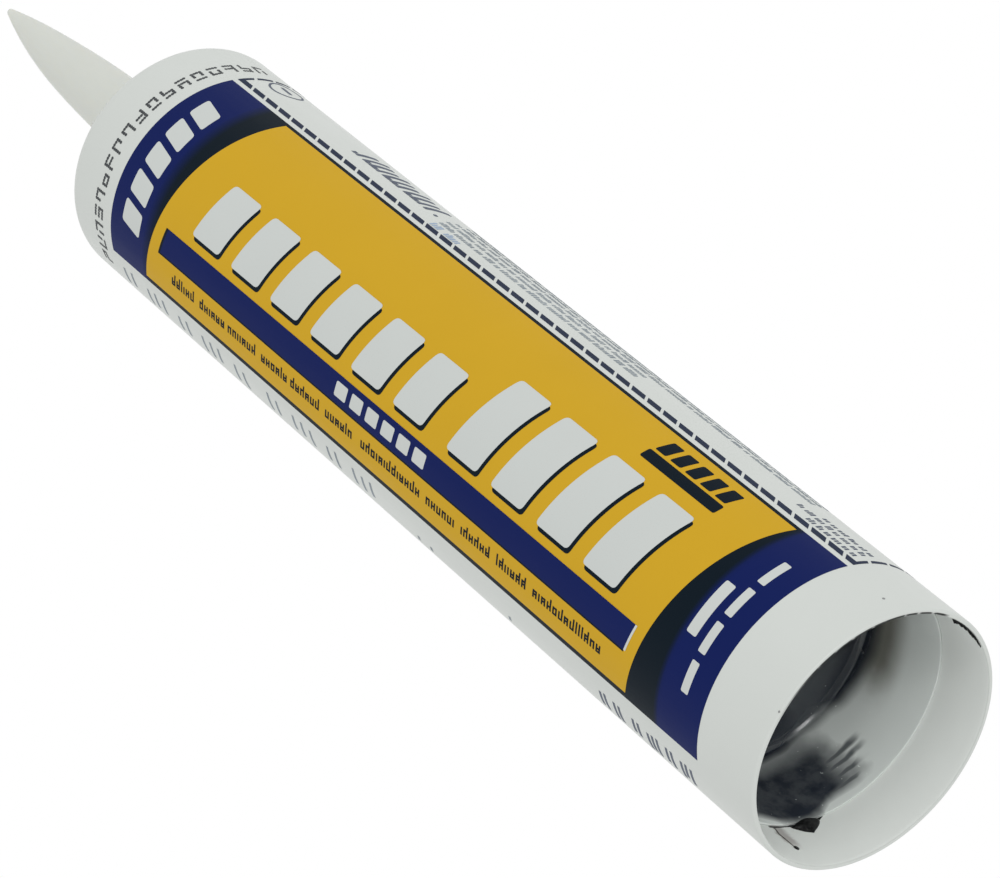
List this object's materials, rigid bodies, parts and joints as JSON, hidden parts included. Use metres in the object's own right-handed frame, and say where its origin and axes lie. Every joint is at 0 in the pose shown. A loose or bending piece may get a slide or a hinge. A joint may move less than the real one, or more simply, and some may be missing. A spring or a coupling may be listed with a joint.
{
  "type": "caulk tube",
  "caption": "Standing plastic sealant cartridge with a closed tapered nozzle, an open rear mouth and a cup plunger that slides forward.",
  "frame": {"origin": "centre of the open rear rim, on the surface that the cartridge stands on", "axes": "+Z along the barrel from the rear rim to the nozzle's tip; the middle of the printed panel faces -Y"},
  "size_m": [0.049, 0.0492, 0.2886],
  "materials": {
    "barrel": "smooth satin white polyethylene",
    "nozzle": "satin natural polyethylene, slightly translucent",
    "foil_seal": "plain rolled foil",
    "plunger": "glossy natural polyethylene, translucent over the sealant",
    "sealant": "black uncured silicone, smooth and glossy",
    "yellow_print": "printed ink, satin",
    "blue_print": "printed ink, satin",
    "black_print": "printed ink, satin",
    "white_print": "printed ink, satin",
    "fine_print": "printed ink, satin",
    "batch_marks": "sprayed ink dots"
  },
  "bodies": {
    "cartridge": {"barrel": "barrel", "nozzle": "nozzle", "foil_seal": "foil_seal", "sealant": "sealant", "yellow_print": "yellow_print", "blue_print": "blue_print", "black_print": "black_print", "white_print": "white_print", "fine_print": "fine_print", "batch_marks": "batch_marks"},
    "piston": {"plunger": "plunger"}
  },
  "joints": [
    {"name": "plunger_slide", "type": "slide", "parent": "cartridge", "child": "piston", "axis": [0, 0, 1], "range_m": [0, 0.184], "deforming": ["sealant"]}
  ]
}
